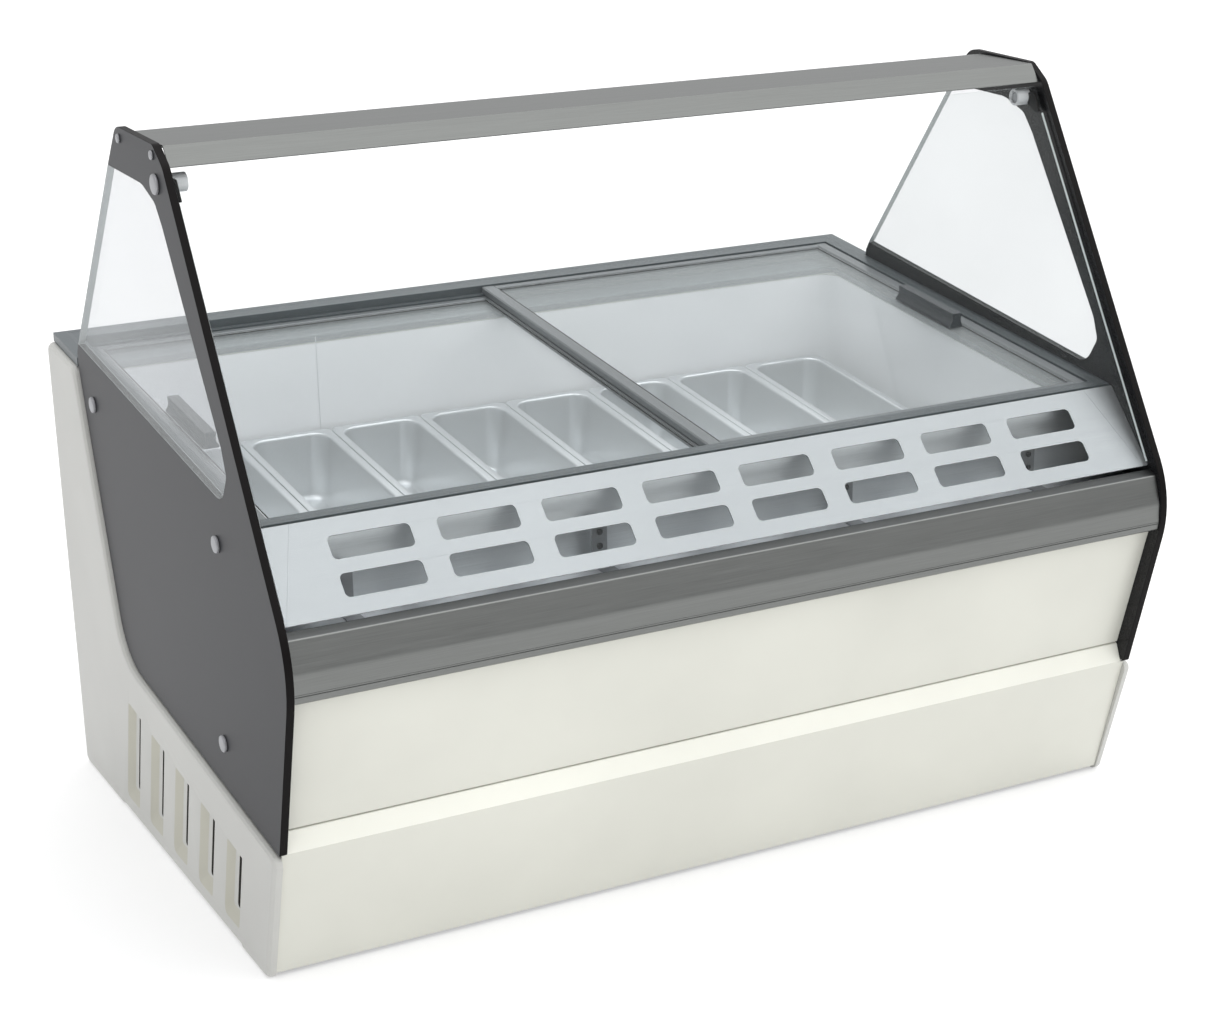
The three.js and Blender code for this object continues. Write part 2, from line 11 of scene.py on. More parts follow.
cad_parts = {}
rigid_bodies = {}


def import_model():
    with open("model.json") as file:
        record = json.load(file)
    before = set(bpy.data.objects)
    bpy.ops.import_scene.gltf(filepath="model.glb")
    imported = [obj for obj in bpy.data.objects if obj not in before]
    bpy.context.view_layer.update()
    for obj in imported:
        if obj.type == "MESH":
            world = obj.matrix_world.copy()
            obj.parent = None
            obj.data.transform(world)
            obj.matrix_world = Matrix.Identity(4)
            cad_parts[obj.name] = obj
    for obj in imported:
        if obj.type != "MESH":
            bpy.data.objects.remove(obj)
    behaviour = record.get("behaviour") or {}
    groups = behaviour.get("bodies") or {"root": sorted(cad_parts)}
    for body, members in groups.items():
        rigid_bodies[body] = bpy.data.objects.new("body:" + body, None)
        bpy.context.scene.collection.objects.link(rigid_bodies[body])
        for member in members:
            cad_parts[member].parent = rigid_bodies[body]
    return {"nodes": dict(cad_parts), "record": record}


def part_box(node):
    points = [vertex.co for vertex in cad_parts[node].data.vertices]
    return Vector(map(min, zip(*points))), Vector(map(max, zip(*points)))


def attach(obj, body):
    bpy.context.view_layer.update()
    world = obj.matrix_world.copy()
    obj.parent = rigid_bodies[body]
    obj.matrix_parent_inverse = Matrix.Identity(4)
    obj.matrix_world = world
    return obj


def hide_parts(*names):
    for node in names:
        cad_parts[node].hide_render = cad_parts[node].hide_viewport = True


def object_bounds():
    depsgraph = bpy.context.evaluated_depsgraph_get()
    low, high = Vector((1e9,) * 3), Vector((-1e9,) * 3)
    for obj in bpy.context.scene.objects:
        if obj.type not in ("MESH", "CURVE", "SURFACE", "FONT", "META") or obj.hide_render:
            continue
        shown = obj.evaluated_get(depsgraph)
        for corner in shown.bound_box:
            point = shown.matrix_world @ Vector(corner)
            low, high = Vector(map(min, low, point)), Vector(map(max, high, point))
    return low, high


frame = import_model()
cad_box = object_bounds()

MM = 0.001
OVERHANG = 162.5                      # how far the end glass stands in front of the foot line
FOOT_LINE = cad_box[0][1] + OVERHANG * MM
HALF = cad_box[1][0] / MM             # half the overall length
PANEL_IN = HALF - 14                  # inner face of an end panel
LOUVRE_DEPTH = 8
GLASS_OUT = 761.5                     # faces of an end glass
GLASS_IN = 749.5
FRONT_HALF = GLASS_IN - 0.5           # half length of the pieces between the end glasses
LINER = 702                           # half length of the space inside the tub
LEAN = 0.293                          # lean of the lower front and of the rear column
RAKE = 0.6235                         # rake of the front glass
DECK_SLOPE = 0.0887
TILT = math.atan(DECK_SLOPE)
DECK_Z = 702.8                        # height of the deck plane over the foot line
SLOT_PITCH = 166.3                    # pitch of the air panel's slots
PAN_PITCH = 165
PAN_LENGTH = 360
PAN_RIM_DROP = 188
PAN_ROWS = {"front": 39, "rear": 401}
PIVOT = (248, 1141)
BUTTONS = {"front_low": (129, 326), "front_high": (94, 650), "rear": (677, 710)}
SKY = {"level": 0.47, "overhead": 0.34, "right": 0.06, "behind": 0.27}

BODY = {}
for body_name, members in frame["record"]["behaviour"]["bodies"].items():
    for member in members:
        BODY[member] = body_name
SLOT = {part["node"]: part["material_slot"] for part in frame["record"]["subparts"]}


# ---- places: functions that turn an outline's (a, b) and a depth w into metres ----
def at(x, v, z):
    return Vector((x * MM, v * MM + FOOT_LINE, z * MM))


def on_deck(x, along, above):
    """A point given along the slope of the deck and square to it."""
    c, s = math.cos(TILT), math.sin(TILT)
    return at(x, along * c - above * s, DECK_Z + along * s + above * c)


def side_view(v, z, x):
    """An outline drawn from the side and run along X."""
    return at(x, v, z)


def deck_view(x, along, above):
    """An outline drawn on the deck and run square to it."""
    return on_deck(x, along, above)


def rear_view(x, z, v):
    """An outline drawn on the upright back and run from front to rear."""
    return at(x, v, z)


# ---- outlines ----
def arc(centre, radius, start, end, steps):
    points = []
    for i in range(steps + 1):
        angle = math.radians(start + (end - start) * i / steps)
        points.append((centre[0] + radius * math.cos(angle), centre[1] + radius * math.sin(angle)))
    return points


def fillet(before, corner, after, radius, steps=8):
    """The arc that rounds a corner, as points from one tangent point to the other."""
    p, a, b = Vector(corner[:2]), Vector(before[:2]), Vector(after[:2])
    u, w = (a - p).normalized(), (b - p).normalized()
    half = u.angle(w) / 2
    if radius <= 0 or half > math.radians(89.5):
        return [tuple(p)]
    reach = min(radius / math.tan(half), 0.49 * (a - p).length, 0.49 * (b - p).length)
    radius = reach * math.tan(half)
    centre = p + (u + w).normalized() * (radius / math.sin(half))
    start, end = p + u * reach - centre, p + w * reach - centre
    turn = start.angle_signed(end)
    points = []
    for i in range(steps + 1):
        spoke = start.copy()
        spoke.rotate(Matrix.Rotation(-turn * i / steps, 2))
        points.append(tuple(centre + spoke))
    return points


def rounded(points, steps=8):
    """A closed outline: each point is (a, b) or (a, b, corner radius)."""
    loop = []
    count = len(points)
    for i, point in enumerate(points):
        radius = point[2] if len(point) > 2 else 0
        loop += fillet(points[i - 1], point, points[(i + 1) % count], radius, steps)
    return loop


def rectangle(a0, a1, b0, b1, radius=0, steps=6):
    return rounded([(a0, b0, radius), (a1, b0, radius), (a1, b1, radius), (a0, b1, radius)], steps)


def folded(points, thickness, steps=5):
    """A bent sheet: its outer face follows the points, and the thickness lies to their right."""
    path = [tuple(points[0][:2])]
    for i in range(1, len(points) - 1):
        radius = points[i][2] if len(points[i]) > 2 else 0
        path += fillet(points[i - 1], points[i], points[i + 1], radius, steps)
    path.append(tuple(points[-1][:2]))
    inner = []
    for i, point in enumerate(path):
        first = Vector(path[max(i, 1)]) - Vector(path[max(i - 1, 0)])
        last = Vector(path[min(i + 1, len(path) - 1)]) - Vector(path[min(i, len(path) - 2)])
        n1 = Vector((first.y, -first.x)).normalized()
        n2 = Vector((last.y, -last.x)).normalized()
        miter = (n1 + n2).normalized()
        inner.append(tuple(Vector(point) + miter * (thickness / max(miter.dot(n1), 0.3))))
    return path + inner[::-1]


# ---- meshes: each maker returns (points, faces) ----
def slab(loops, w0, w1, place):
    """A flat plate: an outer loop and its holes, run from depth w0 to w1."""
    flat = [point for loop in loops for point in loop]
    count = len(flat)
    points = [place(a, b, w0) for a, b in flat] + [place(a, b, w1) for a, b in flat]
    if len(loops) == 1:
        caps = [tuple(range(count))]
    else:
        corners = [[Vector((a, b, 0)) for a, b in loop] for loop in loops]
        caps = [tuple(triangle) for triangle in tessellate_polygon(corners)]
    faces = []
    for cap in caps:
        faces.append(tuple(reversed(cap)))
        faces.append(tuple(i + count for i in cap))
    start = 0
    for loop in loops:
        size = len(loop)
        for i in range(size):
            j = start + (i + 1) % size
            faces.append((start + i, j, j + count, start + i + count))
        start += size
    return points, faces


def loft(loops):
    """Skin through loops of equal size, capped at both ends."""
    size = len(loops[0])
    points = [point for loop in loops for point in loop]
    faces = []
    for k in range(len(loops) - 1):
        low, high = k * size, (k + 1) * size
        for i in range(size):
            j = (i + 1) % size
            faces.append((low + i, low + j, high + j, high + i))
    faces.append(tuple(range(size))[::-1])
    faces.append(tuple(range(len(points) - size, len(points))))
    return points, faces


def turned(profile, centre, axis, segments=48):
    """A turned piece: profile is (along, radius) in mm, starting and ending on the axis."""
    loops = []
    for along, radius in profile:
        loop = []
        for i in range(segments):
            angle = 2 * math.pi * i / segments
            a, b = max(radius, 0.01) * math.cos(angle), max(radius, 0.01) * math.sin(angle)
            if axis == "x":
                loop.append(at(along, centre[0] + a, centre[1] + b))
            elif axis == "y":
                loop.append(at(centre[0] + a, along, centre[1] + b))
            else:
                loop.append(at(centre[0] + a, centre[1] + b, along))
        loops.append(loop)
    return loft(loops)


def joined(*parts):
    points, faces = [], []
    for more_points, more_faces in parts:
        base = len(points)
        points += more_points
        faces += [tuple(i + base for i in face) for face in more_faces]
    return points, faces


# ---- pieces ----
def recalculated(mesh):
    work = bmesh.new()
    work.from_mesh(mesh)
    bmesh.ops.remove_doubles(work, verts=work.verts, dist=1e-6)
    bmesh.ops.recalc_face_normals(work, faces=work.faces)
    work.to_mesh(mesh)
    work.free()


def dress(piece, finish, nodes, body, edge, segments=3, angle=28, slot=None):
    """Edge rounding, smooth shading, material, and what the piece rides on and stands for."""
    mesh = piece.data
    mesh.polygons.foreach_set("use_smooth", [True] * len(mesh.polygons))
    if edge:
        bevel = piece.modifiers.new("edges", "BEVEL")
        bevel.width = edge * MM
        bevel.segments = segments
        bevel.limit_method = "ANGLE"
        bevel.angle_limit = math.radians(angle)
        bevel.harden_normals = False
        bevel.use_clamp_overlap = True
    normals = piece.modifiers.new("normals", "WEIGHTED_NORMAL")
    normals.keep_sharp = True
    for each in finish if isinstance(finish, (list, tuple)) else [finish]:
        mesh.materials.append(each)
    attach(piece, body or BODY[nodes[0]])
    if nodes:
        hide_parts(*nodes)
    slot or SLOT[nodes[0]]
    return piece


def piece(name, part, finish, nodes=(), body=None, edge=0.6, segments=3, slot=None):
    points, faces = part
    mesh = bpy.data.meshes.new(name)
    mesh.from_pydata([tuple(p) for p in points], [], faces)
    recalculated(mesh)
    thing = bpy.data.objects.new(name, mesh)
    bpy.context.scene.collection.objects.link(thing)
    return dress(thing, finish, list(nodes), body, edge, segments, slot=slot)


def refined(node, finish, edge=0.8, segments=2):
    """A copy of a CAD node with its edges rounded."""
    mesh = frame["nodes"][node].data.copy()
    mesh.materials.clear()
    work = bmesh.new()
    work.from_mesh(mesh)
    bmesh.ops.remove_doubles(work, verts=work.verts, dist=1e-6)
    work.to_mesh(mesh)
    work.free()
    thing = bpy.data.objects.new(f"{node}_body", mesh)
    bpy.context.scene.collection.objects.link(thing)
    return dress(thing, finish, [node], None, edge, segments)


# ---- materials ----
class Nodes:
    """A short way to build a node tree for one material."""

    def __init__(self, name):
        self.material = bpy.data.materials.new(name)
        self.material.use_nodes = True
        self.tree = self.material.node_tree
        self.shader = self.tree.nodes["Principled BSDF"]
        self.output = self.tree.nodes["Material Output"]
        self.coordinates = self.tree.nodes.new("ShaderNodeTexCoord")

    def add(self, kind, **values):
        node = self.tree.nodes.new(kind)
        for key, value in values.items():
            if key in node.inputs:
                node.inputs[key].default_value = value
            else:
                setattr(node, key, value)
        return node

    def link(self, source, target):
        self.tree.links.new(source, target)

    def noise(self, stretch, scale, detail=2.0, roughness=0.5):
        """Noise in object space, stretched by (x, y, z)."""
        mapping = self.add("ShaderNodeMapping")
        mapping.inputs["Scale"].default_value = stretch
        self.link(self.coordinates.outputs["Object"], mapping.inputs["Vector"])
        texture = self.add("ShaderNodeTexNoise", Scale=scale, Detail=detail, Roughness=roughness)
        self.link(mapping.outputs["Vector"], texture.inputs["Vector"])
        return texture.outputs["Fac"]

    def spread(self, value, low, high):
        """Maps the middle of a noise to the range from low to high."""
        node = self.add("ShaderNodeMapRange")
        for key, number in (("From Min", 0.3), ("From Max", 0.7), ("To Min", low), ("To Max", high)):
            node.inputs[key].default_value = number
        self.link(value, node.inputs["Value"])
        return node.outputs["Result"]

    def tint(self, value, dark, light):
        ramp = self.add("ShaderNodeValToRGB")
        ramp.color_ramp.elements[0].color = (*dark, 1)
        ramp.color_ramp.elements[1].color = (*light, 1)
        ramp.color_ramp.elements[0].position = 0.3
        ramp.color_ramp.elements[1].position = 0.7
        self.link(value, ramp.inputs["Fac"])
        return ramp.outputs["Color"]

    def bump(self, height, strength, distance):
        node = self.add("ShaderNodeBump", Strength=strength, Distance=distance)
        self.link(height, node.inputs["Height"])
        self.link(node.outputs["Normal"], self.shader.inputs["Normal"])

    def set(self, **values):
        names = {"coat": "Coat Weight", "coat_roughness": "Coat Roughness", "metal": "Metallic",
                 "roughness": "Roughness", "ior": "IOR", "specular": "Specular IOR Level"}
        for key, value in values.items():
            self.shader.inputs[names[key]].default_value = value


def shade(colour, factor):
    return tuple(min(channel * factor, 1) for channel in colour)


def surface(name, colour, roughness, grain, bump, metal=0.0, vary=0.04, coat=0.0, specular=0.5):
    """A surface whose colour and roughness drift a little and whose relief is fine grain."""
    nodes = Nodes(name)
    nodes.set(metal=metal, coat=coat, coat_roughness=0.15, specular=specular)
    drift = nodes.noise((1, 1, 1), 3.5, 3)
    colours = nodes.tint(drift, shade(colour, 1 - vary), shade(colour, 1 + vary))
    nodes.link(colours, nodes.shader.inputs["Base Color"])
    fine = nodes.noise((1, 1, 1), grain, 3)
    nodes.link(nodes.spread(fine, *roughness), nodes.shader.inputs["Roughness"])
    nodes.bump(fine, *bump)
    return nodes.material


def brushed(name, colour, roughness, vary=0.12, stretch=(2, 260, 260)):
    """Steel brushed lengthwise: fine streaks in colour, roughness and relief."""
    nodes = Nodes(name)
    nodes.set(metal=1.0)
    fine = nodes.noise(stretch, 6, 4, 0.65)
    broad = nodes.noise((0.4, 40, 40), 2.5, 2)
    mix = nodes.add("ShaderNodeMath", operation="MULTIPLY_ADD")
    mix.inputs[1].default_value = 0.2
    nodes.link(broad, mix.inputs[0])
    scaled = nodes.add("ShaderNodeMath", operation="MULTIPLY")
    scaled.inputs[1].default_value = 0.8
    nodes.link(fine, scaled.inputs[0])
    nodes.link(scaled.outputs[0], mix.inputs[2])
    streaks = mix.outputs[0]
    colours = nodes.tint(streaks, shade(colour, 1 - vary), shade(colour, 1 + vary))
    nodes.link(colours, nodes.shader.inputs["Base Color"])
    nodes.link(nodes.spread(streaks, *roughness), nodes.shader.inputs["Roughness"])
    nodes.bump(fine, 0.12, 0.0002)
    return nodes.material


def clear_glass(name, tint, gloss=0.06):
    """Thin glass: light passes straight through, and a glossy skin reflects by the viewing angle."""
    nodes = Nodes(name)
    nodes.set(roughness=0.02, specular=0.5)
    nodes.shader.inputs["Base Color"].default_value = (0.9, 0.95, 0.96, 1)
    through = nodes.add("ShaderNodeBsdfTransparent")
    haze = nodes.noise((1, 1, 1), 4, 2)
    tints = nodes.tint(haze, shade(tint, 0.985), tint)
    nodes.link(tints, through.inputs["Color"])
    facing = nodes.add("ShaderNodeLayerWeight", Blend=0.5)
    steep = nodes.add("ShaderNodeMath", operation="POWER")
    steep.inputs[1].default_value = 5
    nodes.link(facing.outputs["Facing"], steep.inputs[0])
    lift = nodes.add("ShaderNodeMath", operation="MULTIPLY_ADD")
    lift.inputs[1].default_value = 0.9 - gloss
    lift.inputs[2].default_value = gloss
    nodes.link(steep.outputs[0], lift.inputs[0])
    nodes.link(nodes.spread(haze, 0.015, 0.03), nodes.shader.inputs["Roughness"])
    mix = nodes.add("ShaderNodeMixShader")
    nodes.link(lift.outputs[0], mix.inputs["Fac"])
    nodes.link(through.outputs["BSDF"], mix.inputs[1])
    nodes.link(nodes.shader.outputs["BSDF"], mix.inputs[2])
    nodes.link(mix.outputs["Shader"], nodes.output.inputs["Surface"])
    return nodes.material


cream_enamel = surface("cream_enamel", (0.69, 0.69, 0.625), (0.34, 0.42), 700, (0.05, 0.0004),
                       coat=0.1)
# A lighter copy of cream_enamel for the kick panel's ledge: a painted highlight on its upward face.
cream_painted_highlight = surface("cream_painted_highlight", (0.90, 0.90, 0.82), (0.34, 0.42), 700, (0.05, 0.0004),
                      coat=0.1)
cream_moulding = surface("cream_moulding", (0.55, 0.55, 0.525), (0.44, 0.52), 1800, (0.08, 0.0003))
pale_steel = brushed("pale_steel", (0.375, 0.385, 0.40), (0.42, 0.52), vary=0.1)
dark_steel = brushed("dark_steel", (0.16, 0.165, 0.16), (0.32, 0.44), vary=0.14)
# A darker, warmer copy of cream_moulding for the louvre slopes: painted shading.
slope_painted_shade = surface("slope_painted_shade", (0.50, 0.49, 0.415), (0.44, 0.52), 1800, (0.08, 0.0003))
rail_steel = brushed("rail_steel", (0.20, 0.206, 0.20), (0.34, 0.46), vary=0.14)
# A darker copy of rail_steel for the rail's top fold: painted shade.
rail_painted_shade = brushed("rail_painted_shade", (0.085, 0.088, 0.088), (0.34, 0.46), vary=0.14)
pan_steel = brushed("pan_steel", (0.72, 0.735, 0.75), (0.30, 0.38), vary=0.05, stretch=(60, 60, 8))
duct_steel = brushed("duct_steel", (0.74, 0.76, 0.78), (0.4, 0.5))
frame_grey = surface("frame_grey", (0.085, 0.10, 0.108), (0.30, 0.40), 900, (0.06, 0.0003), 0.25)
lid_grey = surface("lid_grey", (0.17, 0.182, 0.19), (0.28, 0.38), 900, (0.06, 0.0003), 0.25)
liner_white = surface("liner_white", (0.95, 0.95, 0.97), (0.28, 0.36), 350, (0.04, 0.0005), coat=0.2)
foam_body = surface("foam_body", (0.55, 0.55, 0.50), (0.6, 0.75), 220, (0.25, 0.001))
glass_print = surface("glass_print", (0.036, 0.037, 0.041), (0.34, 0.42), 1200, (0.02, 0.0002),
                      specular=0.12)
black_print = surface("black_print", (0.010, 0.010, 0.011), (0.24, 0.32), 900, (0.02, 0.0002),
                      specular=0.2)
nickel = surface("nickel", (0.36, 0.365, 0.38), (0.42, 0.52), 600, (0.04, 0.0002), 0.4)
trim_steel = surface("trim_steel", (0.75, 0.77, 0.78), (0.20, 0.28), 600, (0.04, 0.0002), 0.9)
boss_white = surface("boss_white", (0.80, 0.80, 0.82), (0.25, 0.35), 900, (0.04, 0.0003))
edge_black = surface("edge_black", (0.006, 0.005, 0.005), (0.4, 0.5), 900, (0.02, 0.0002),
                     specular=0.08)
glass_edge = surface("glass_edge", (0.55, 0.58, 0.58), (0.2, 0.3), 900, (0.02, 0.0002))
polished_edge = surface("polished_edge", (0.86, 0.90, 0.90), (0.2, 0.3), 900, (0.02, 0.0002))
black_plastic = surface("black_plastic", (0.022, 0.022, 0.023), (0.42, 0.55), 1500, (0.12, 0.0003))
handle_plastic = surface("handle_plastic", (0.038, 0.044, 0.05), (0.30, 0.42), 1500, (0.08, 0.0003))
black_enamel = surface("black_enamel", (0.02, 0.02, 0.02), (0.25, 0.35), 300, (0.06, 0.0005), coat=0.3)
# Near black for the walls of the louvre slits: painted shadow.
slit_painted_shadow = surface("slit_painted_shadow", (0.05, 0.048, 0.042), (0.7, 0.8), 500, (0.05, 0.0003))
rubber = surface("rubber", (0.02, 0.02, 0.02), (0.7, 0.85), 900, (0.2, 0.0004))
galvanised = surface("galvanised", (0.42, 0.44, 0.45), (0.34, 0.55), 28, (0.04, 0.0004), 0.9, vary=0.15)
copper = surface("copper", (0.62, 0.27, 0.14), (0.25, 0.35), 300, (0.03, 0.0003), 1.0)
screen = surface("screen", (0.01, 0.012, 0.014), (0.08, 0.12), 300, (0.01, 0.0001), coat=0.8)
lit_mark = surface("lit_mark", (0.30, 0.62, 0.30), (0.3, 0.4), 300, (0.02, 0.0002))
front_clear = clear_glass("front_clear", (0.975, 0.985, 0.982), gloss=0.012)
end_clear = clear_glass("end_clear", (0.865, 0.866, 0.872), gloss=0.02)
lid_clear = clear_glass("lid_clear", (0.978, 0.982, 0.987), gloss=0.03)


# ---- base ----
def build_base():
    refined("base_frame", galvanised, 2.0)
    for end in ("left", "right"):
        for side in ("front", "rear"):
            node = f"foot_{side}_{end}"
            low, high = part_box(node)
            x = (low[0] + high[0]) / 2 / MM
            v = ((low[1] + high[1]) / 2 - FOOT_LINE) / MM
            profile = [(0, 0), (0, 23), (1.5, 24.5), (5, 25.5), (7, 25), (11, 16), (12, 9),
                       (12.5, 7), (21.5, 7), (21.5, 0)]
            piece(f"{node}_pad", turned(profile, (x, v), "z"), rubber, [node], edge=0)


# ---- front ----
def sheet_piece(name, points, thickness, finish, node, half=FRONT_HALF, edge=0.5):
    outline = folded(points, thickness)
    return piece(name, slab([outline], -half, half, side_view), finish, [node], edge=edge, segments=2)


def kick_panel():
    """The lower sheet runs from end panel to end panel; its ledge stops short of the end glass."""
    low = folded([(-14.4, 8), (-78.3, 227.4)], 2.5)
    high = folded([(-78.3, 227.4), (-78.5, 228, 5), (-66, 257.5, 4), (-61, 259, 2), (-72, 296)], 2.5)
    sheets = joined(slab([low], -PANEL_IN + 0.5, PANEL_IN - 0.5, side_view),
                    slab([high], -FRONT_HALF, FRONT_HALF, side_view))
    sheet = piece("kick_panel_sheet", sheets, [cream_enamel, cream_painted_highlight], ["kick_panel"], edge=0.4,
                  segments=2)
    # Faces that look up and forward take the lighter cream: a painted highlight on the ledge.
    for face in sheet.data.polygons:
        face.material_index = 1 if face.normal.z > 0.2 and face.normal.y < -0.5 else 0


def build_front():
    kick_panel()
    upper = [(-66.6, 261), (-136, 489, 2), (-136, 551)]
    sheet_piece("front_panel_sheet", upper, 2.5, cream_enamel, "front_panel")
    rail = [(-139.5, 486.5), (-152, 486.8, 3), (-156.5, 490, 3), (-158.6, 503, 12), (-158.2, 533, 30),
            (-143, 579, 5), (-126.5, 585.3)]
    shell = sheet_piece("bumper_rail_shell", rail, 2.5, [rail_steel, rail_painted_shade], "bumper_rail", edge=0.4)
    # Faces that look up take the darker steel: painted shade on the rail's top fold.
    for face in shell.data.polygons:
        face.material_index = 1 if face.normal.z > 0.75 else 0
    # Thin dark strips along the rail's two creases: painted shade in the folds.
    creases = []
    for z in (499, 502.4):
        line = rectangle(-159.1, -158.0, z, z + 0.5)
        creases.append(slab([line], -FRONT_HALF + 1, FRONT_HALF - 1, side_view))
    piece("bumper_rail_crease_painted_shade", joined(*creases), dark_steel, body="cabinet", edge=0.15,
          segments=1, slot="dark_steel")
    trough = [(-116.5, 579), (-116.5, 563, 4), (-14.6, 563, 4), (-14.6, 687)]
    sheet_piece("air_duct_trough", trough, -1.4, duct_steel, "air_duct", half=743.5, edge=0.3)
    build_air_panel()
    build_duct_brackets()


def build_air_panel():
    bottom, top = Vector((-122, 590.5)), Vector((-15, 701))
    up = (top - bottom).normalized()
    out = Vector((-up.y, up.x))
    length = (top - bottom).length

    def panel_view(x, s, w):
        spot = bottom + up * s + out * w
        return at(x, spot.x, spot.y)

    half = FRONT_HALF - 0.3
    loops = [rectangle(-half, half, 0.5, length - 0.5, 1.5, 3)]
    for column in range(8):
        x = (column - 3.5) * SLOT_PITCH
        for low in (length - 126.5, length - 66.5):
            loops.append(rectangle(x - 62.5, x + 62.5, low, low + 37.5, 8.5, 7)[::-1])
    piece("air_panel_sheet", slab(loops, -1.8, 0, panel_view), pale_steel, ["air_panel"], edge=0.45,
          segments=2)
    end_folds = []
    for side in (-1, 1):
        ridge = [(side * 690, length - 1.2), (side * 691.5, length - 1.2),
                 (side * 740.5, 1.2), (side * 739, 1.2)]
        end_folds.append(slab([ridge], -0.1, 0.35, panel_view))
    piece("air_panel_end_folds", joined(*end_folds), pale_steel, body="cabinet", edge=0.1, segments=1,
          slot="pale_steel")


def build_duct_brackets():
    """Angle brackets that carry the air panel, with a screw in some of them."""
    width = 26
    screw_heights = (594, 616)
    parts, screws = [], []
    head = [(-43.5, 0), (-43.5, 4.2), (-42.5, 5), (-42, 5), (-42, 0)]
    for column, shift, screwed in ((0, -54, False), (2, 18, True), (5, -48, True), (7, -30, True)):
        x = (column - 3.5) * SLOT_PITCH + shift
        arm = folded([(-108, 566), (-40, 566, 3), (-40, 632), (-52, 632)], 2.0, 3)
        parts.append(slab([arm], x, x + width, side_view))
        if screwed:
            screws += [turned(head, (x + width / 2, z), "y", 24) for z in screw_heights]
    piece("duct_brackets", joined(*parts), pale_steel, body="cabinet", edge=0.3, slot="pale_steel")
    piece("duct_bracket_screws", joined(*screws), black_enamel, body="cabinet", edge=0,
          slot="black_plastic")


# ---- end panels ----
def build_end_panels():
    for end in ("right", "left"):
        moulding = refined(f"end_panel_{end}", [cream_moulding, slit_painted_shadow, slope_painted_shade], 1.2, 3)
        # Within the louvres the slit walls take the painted shadow and the slopes the painted shading;
        # the rest keeps the moulding's cream.
        for face in moulding.data.polygons:
            depth = HALF - abs(face.center.x) / MM
            in_slit = LOUVRE_DEPTH + 0.5 < depth < HALF - PANEL_IN - 0.1 and abs(face.normal.x) < 0.1
            on_slope = 0.2 < depth < LOUVRE_DEPTH - 0.1 and abs(face.normal.x) < 0.97
            if is_louvre(face.center):
                face.material_index = 1 if in_slit else 2 if on_slope else 0


def is_louvre(spot):
    """True within the band of louvres, clear of the panel's own edges."""
    v, z = (spot.y - FOOT_LINE) / MM, spot.z / MM
    return 40 < z < 230 and 20 < v + LEAN * z < 690


# ---- end glass: a clear window in a dark printed surround ----
def glass_outline():
    rear = 748.5
    under_deck = DECK_Z + DECK_SLOPE * rear - 14
    return [
        (-18 - LEAN * 230.5, 230.5, 3), (-176, 543, 162), (214, 1171, 40), (253, 1197, 20),
        (427, 1197, 36), (rear, 780, 4), (rear, under_deck, 4), (615, 296, 104),
    ]


def window_edge():
    """The window's own edge, from the rear edge of the glass round to the rear edge again."""
    points = [(738.3, 796.5), (58, 722, 34), (30, 768, 14), (43, 804, 40), (235, 1081, 20),
              (262, 1112, 30), (318, 1130, 70), (481, 1130)]
    path = [points[0]]
    for i in range(1, len(points) - 1):
        path += fillet(points[i - 1], points[i], points[i + 1], points[i][2], 8)
    path.append(points[-1])
    return path


def build_end_glass():
    outline = rounded(glass_outline(), 10)
    window = window_edge()
    rear_low, rear_high = Vector(window[0]), Vector(window[-1])

    def on_rear_edge(point):
        return rear_low.y - 4 < point[1] < rear_high.y + 4 and point[0] > 470

    surround = [point for point in outline if not on_rear_edge(point)]
    top = max(range(len(surround)), key=lambda i: surround[i][0] if surround[i][1] > 1150 else -999)
    # the outline runs from the rear top corner round the front to the lower rear, then back
    # along the edge of the window
    after = surround[top + 1:] + surround[:top + 1]
    printed = after + window[::-1]
    for end, sign in (("right", 1), ("left", -1)):
        def place(v, z, x, sign=sign):
            return at(sign * x, v, z)
        piece(f"end_glass_{end}_print", slab([printed], GLASS_IN, GLASS_OUT, place),
              [glass_print, black_print, edge_black], [f"end_glass_{end}"], edge=0.8)
        colour_by_side(bpy.data.objects[f"end_glass_{end}_print"], sign)
        piece(f"end_glass_{end}_window", slab([window], GLASS_IN + 0.1, GLASS_OUT - 0.1, place),
              [end_clear, end_clear, glass_edge], body="cabinet", edge=0.3, segments=2,
              slot="printed_glass")
        colour_by_side(bpy.data.objects[f"end_glass_{end}_window"], sign)
        for place_name, (v, z) in BUTTONS.items():
            node = f"glass_button_{place_name}_{end}"
            profile = [(745.5, 0), (745.5, 8.5), (746, 9), (749.2, 9), (749.4, 5), (761.8, 5),
                       (761.9, 12.4), (762.4, 13), (764.9, 13), (766.2, 12.2), (766.8, 10.6), (767, 0)]
            sided = [(sign * along, radius) for along, radius in profile]
            piece(f"{node}_cap", turned(sided, (v, z), "x"), nickel, [node], edge=0)
        screws = []
        head = [(749.0, 0), (749.0, 4), (761.6, 4), (761.7, 6.6), (763.6, 7), (764.8, 6), (765.2, 0)]
        sided = [(sign * along, radius) for along, radius in head]
        for v, z in ((412, 1180), (256, 1181)):
            screws.append(turned(sided, (v, z), "x", 28))
        piece(f"top_bar_screws_{end}", joined(*screws), nickel, body="cabinet", edge=0,
              slot="bright_fixing")


def colour_by_side(thing, sign):
    """Materials in the order outer face, inner face, edges."""
    for face in thing.data.polygons:
        facing = face.normal.x * sign
        face.material_index = 0 if facing > 0.9 else 1 if facing < -0.9 else 2


